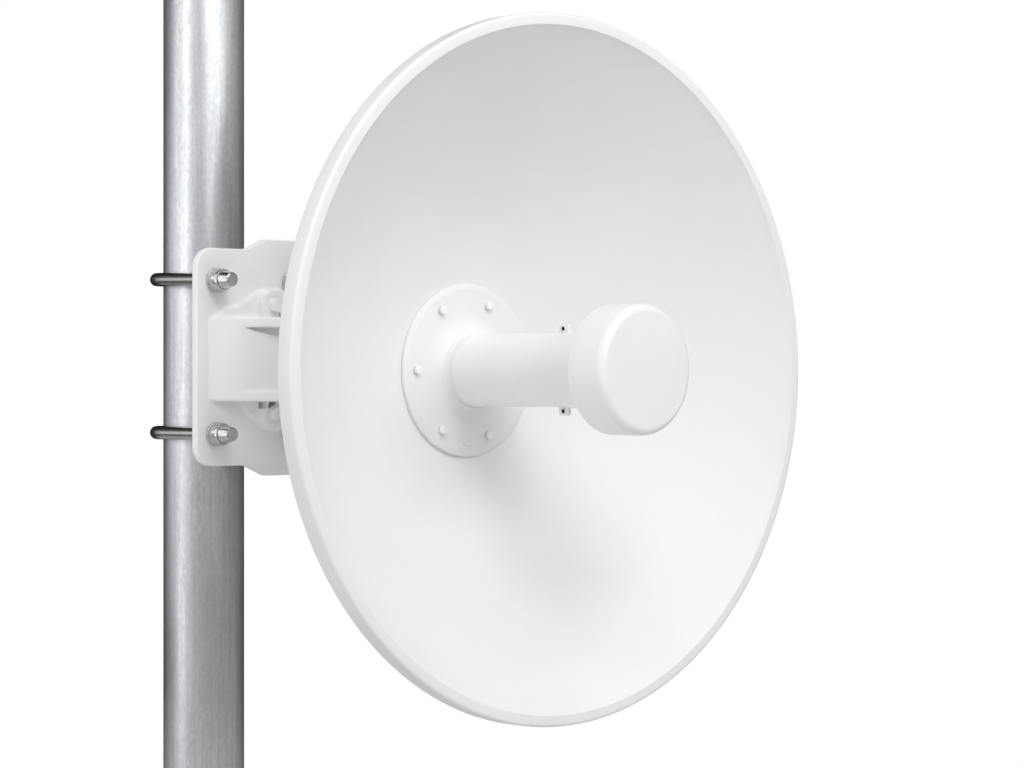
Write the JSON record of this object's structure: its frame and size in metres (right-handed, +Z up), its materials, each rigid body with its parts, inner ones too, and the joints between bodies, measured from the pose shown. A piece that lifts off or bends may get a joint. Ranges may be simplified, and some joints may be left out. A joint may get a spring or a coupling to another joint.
{
  "type": "wireless dish antenna on a pole",
  "caption": "Round parabolic dish antenna with a central feed tube and cap, on a side-offset bracket that U-bolts clamp to a galvanised pole with a foot plate.",
  "frame": {"origin": "centre of the foot plate's underside, on the pole's axis", "axes": "+Z up along the pole; the dish looks along -Y; its axis stands to the +X side of the pole"},
  "size_m": [0.642, 0.5265, 1.0053],
  "materials": {
    "galvanised_steel": "hot-dip galvanised, spangled and streaked",
    "zinc_hardware": "zinc-plated, dark satin",
    "bracket_coating": "white powder coat, satin",
    "dish_coating": "white powder coat, smooth satin",
    "feed_plastic": "moulded white plastic",
    "coated_screws": "white coated",
    "black_plastic": "moulded black plastic",
    "connector_metal": "nickel-plated brass"
  },
  "bodies": {
    "root": {"foot_plate": "galvanised_steel", "pole": "galvanised_steel", "pole_cap": "black_plastic", "ubolt_upper": "zinc_hardware", "ubolt_lower": "zinc_hardware", "washer_upper_left": "zinc_hardware", "washer_upper_right": "zinc_hardware", "washer_lower_left": "zinc_hardware", "washer_lower_right": "zinc_hardware", "nut_upper_left": "zinc_hardware", "nut_upper_right": "zinc_hardware", "nut_lower_left": "zinc_hardware", "nut_lower_right": "zinc_hardware", "saddle_upper": "bracket_coating", "saddle_lower": "bracket_coating", "pole_plate": "bracket_coating", "offset_arm": "bracket_coating", "arm_bolt_1": "coated_screws", "arm_bolt_2": "coated_screws", "arm_bolt_3": "coated_screws", "hub_plate": "bracket_coating", "hub_bolt_1": "zinc_hardware", "hub_bolt_2": "zinc_hardware", "hub_bolt_3": "zinc_hardware", "hub_bolt_4": "zinc_hardware", "reflector": "dish_coating", "feed_flange": "feed_plastic", "flange_screw_1": "coated_screws", "flange_screw_2": "coated_screws", "flange_screw_3": "coated_screws", "flange_screw_4": "coated_screws", "flange_screw_5": "coated_screws", "flange_screw_6": "coated_screws", "flange_plug": "feed_plastic", "feed_tube": "feed_plastic", "feed_collar": "feed_plastic", "lug_screw_1": "zinc_hardware", "lug_screw_2": "zinc_hardware", "feed_cap": "feed_plastic", "feed_boss": "bracket_coating", "connector_left": "connector_metal", "connector_right": "connector_metal"}
  },
  "joints": []
}
